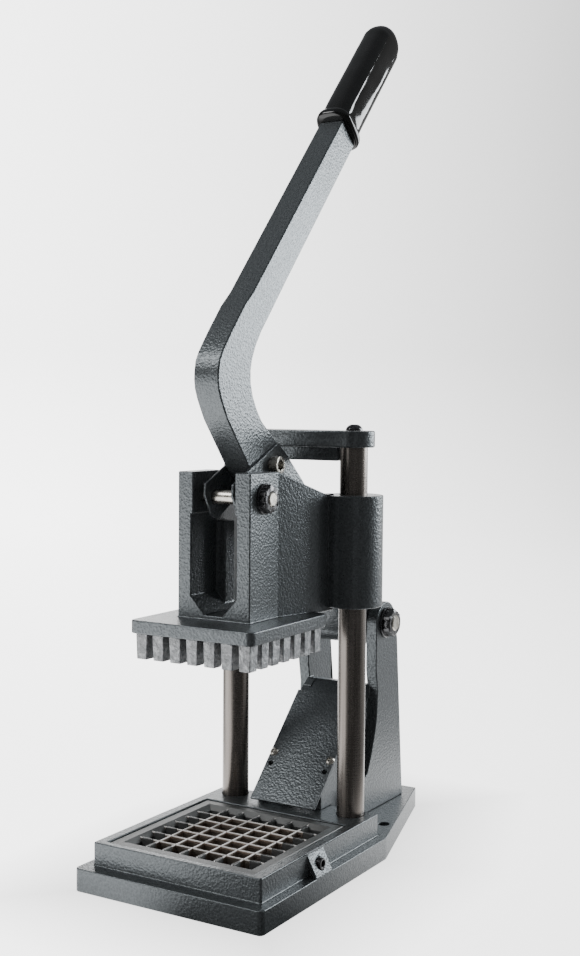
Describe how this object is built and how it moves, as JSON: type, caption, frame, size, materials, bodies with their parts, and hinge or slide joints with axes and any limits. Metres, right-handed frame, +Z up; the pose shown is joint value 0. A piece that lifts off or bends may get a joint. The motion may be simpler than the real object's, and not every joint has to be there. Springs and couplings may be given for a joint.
{
  "type": "french fry cutter",
  "caption": "Upright lever press that pushes a potato through a square blade grid, with a ram on two guide rods.",
  "frame": {"origin": "middle of the foot's underside, on the table, halfway along the foot", "axes": "+Z up along the guide rods, -Y the front where the blade grid is, +X to the right seen from the front"},
  "size_m": [0.15, 0.3072, 0.6344],
  "materials": {
    "hammered_paint": "hammered enamel",
    "ground_steel": "ground",
    "raw_aluminium": "as cast",
    "dark_casting": "satin",
    "blade_steel": "ground",
    "black_grip": "gloss",
    "black_steel": "blackened",
    "bright_steel": "plated"
  },
  "bodies": {
    "base": {"base_casting": "hammered_paint", "rear_stand": "hammered_paint", "guard_plate": "hammered_paint", "guard_screws": "bright_steel", "rod_left": "ground_steel", "rod_right": "ground_steel", "crossbar": "hammered_paint", "crossbar_screws": "black_steel", "blade_frame": "dark_casting", "blades_lengthwise": "blade_steel", "blades_crosswise": "blade_steel", "clamp_screws": "black_steel", "stand_bolt": "bright_steel", "stand_washers": "black_steel", "stand_nuts": "black_steel"},
    "ram": {"ram_casting": "hammered_paint", "pusher_block": "raw_aluminium", "ram_bolt": "bright_steel", "ram_washers": "black_steel", "ram_nuts": "black_steel"},
    "links": {"link_left": "hammered_paint", "link_right": "hammered_paint", "link_screws": "bright_steel"},
    "lever": {"lever_arm": "hammered_paint", "grip": "black_grip", "lever_pin": "bright_steel"}
  },
  "joints": [
    {"name": "lever_hinge", "type": "hinge", "parent": "base", "child": "lever", "pos_m": [0, 0.095, 0.16], "axis": [1, 0, 0], "range_deg": [0, 37.3]},
    {"name": "ram_slide", "type": "slide", "parent": "base", "child": "ram", "axis": [0, 0, -1], "range_m": [0, 0.1275]},
    {"name": "link_hinge", "type": "hinge", "parent": "ram", "child": "links", "pos_m": [0, -0.0765, 0.266], "axis": [1, 0, 0], "range_deg": [0, 77.1]}
  ],
  "couplings": [
    {"joint": "ram_slide", "follows": "lever_hinge", "m_per_rad": 0.1957},
    {"joint": "link_hinge", "follows": "lever_hinge", "ratio": 2.0645}
  ]
}
